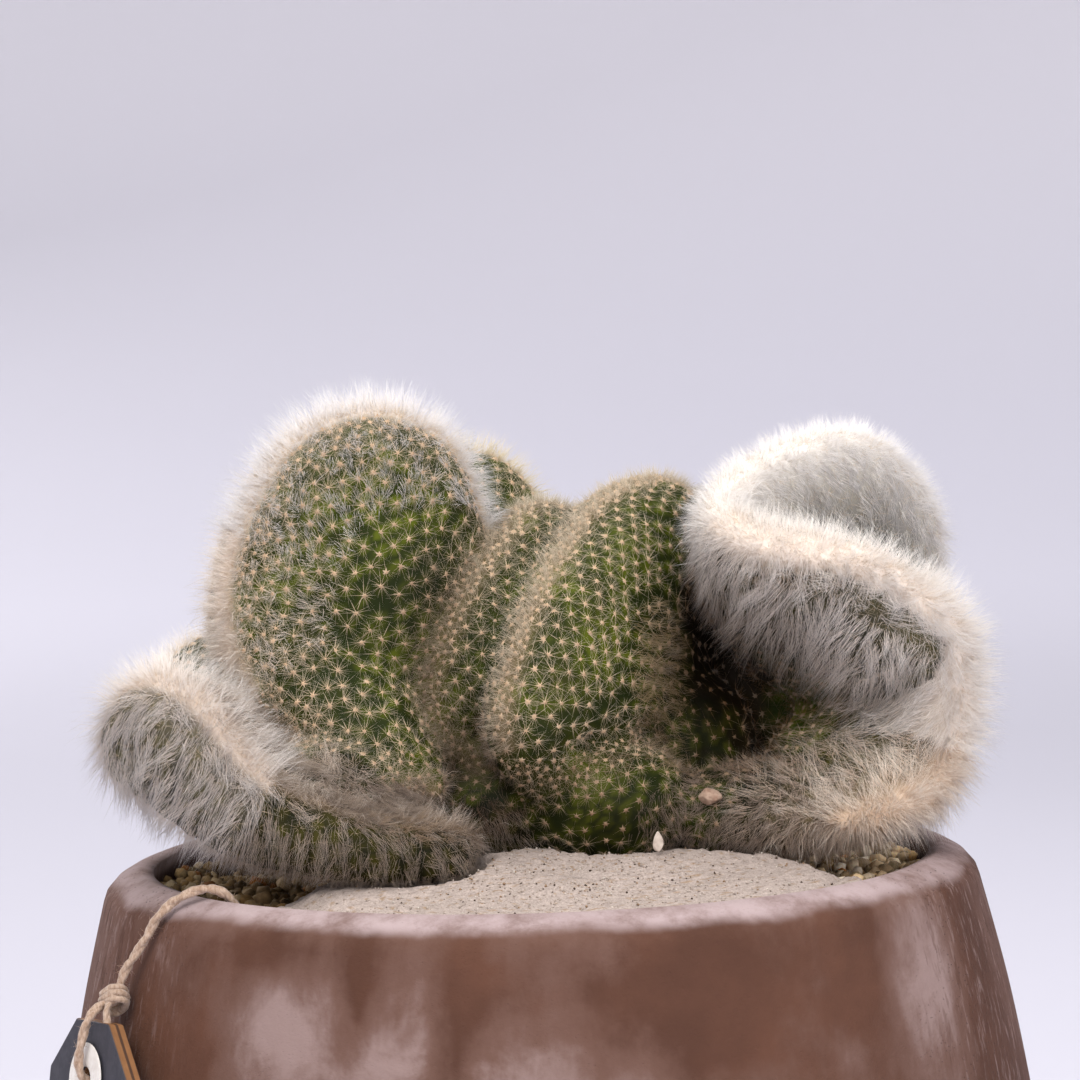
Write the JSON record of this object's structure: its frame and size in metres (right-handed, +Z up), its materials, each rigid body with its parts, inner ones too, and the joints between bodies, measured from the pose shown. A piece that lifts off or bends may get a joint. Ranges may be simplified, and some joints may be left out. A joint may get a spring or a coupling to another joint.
{
  "type": "potted crested silver torch cactus",
  "caption": "Crested, wool-edged cactus folded like a ribbon, in a round terracotta pot topped with grit and sand, with a twine-tied tag.",
  "frame": {"origin": "middle of the pot's foot, on the surface it stands on", "axes": "+Z up, -Y towards the side that the picture shows, +X to the right in the picture"},
  "size_m": [0.21, 0.21, 0.2488],
  "materials": {
    "cactus_flesh": "matte green skin",
    "cactus_wool": "fine cream and white bristles and wool",
    "terracotta": "matte brown clay with a pale lime wash",
    "potting_mix": "dark, crumbly",
    "grit": "coarse tan grit",
    "sand": "fine pale sand",
    "pale_stone": "matte",
    "jute": "twisted natural fibre",
    "painted_plywood": "dark matte paint, scorched edge",
    "white_ring": "matte"
  },
  "bodies": {
    "root": {"pot": "terracotta", "potting_mix": "potting_mix", "grit_bed": "grit", "sand_mound": "sand", "crested_cactus": "cactus_flesh", "stone_flake": "pale_stone", "pebble": "pale_stone", "twine": "jute", "twine_knot": "jute", "hang_tag": "painted_plywood", "tag_eyelet": "white_ring"}
  },
  "joints": []
}
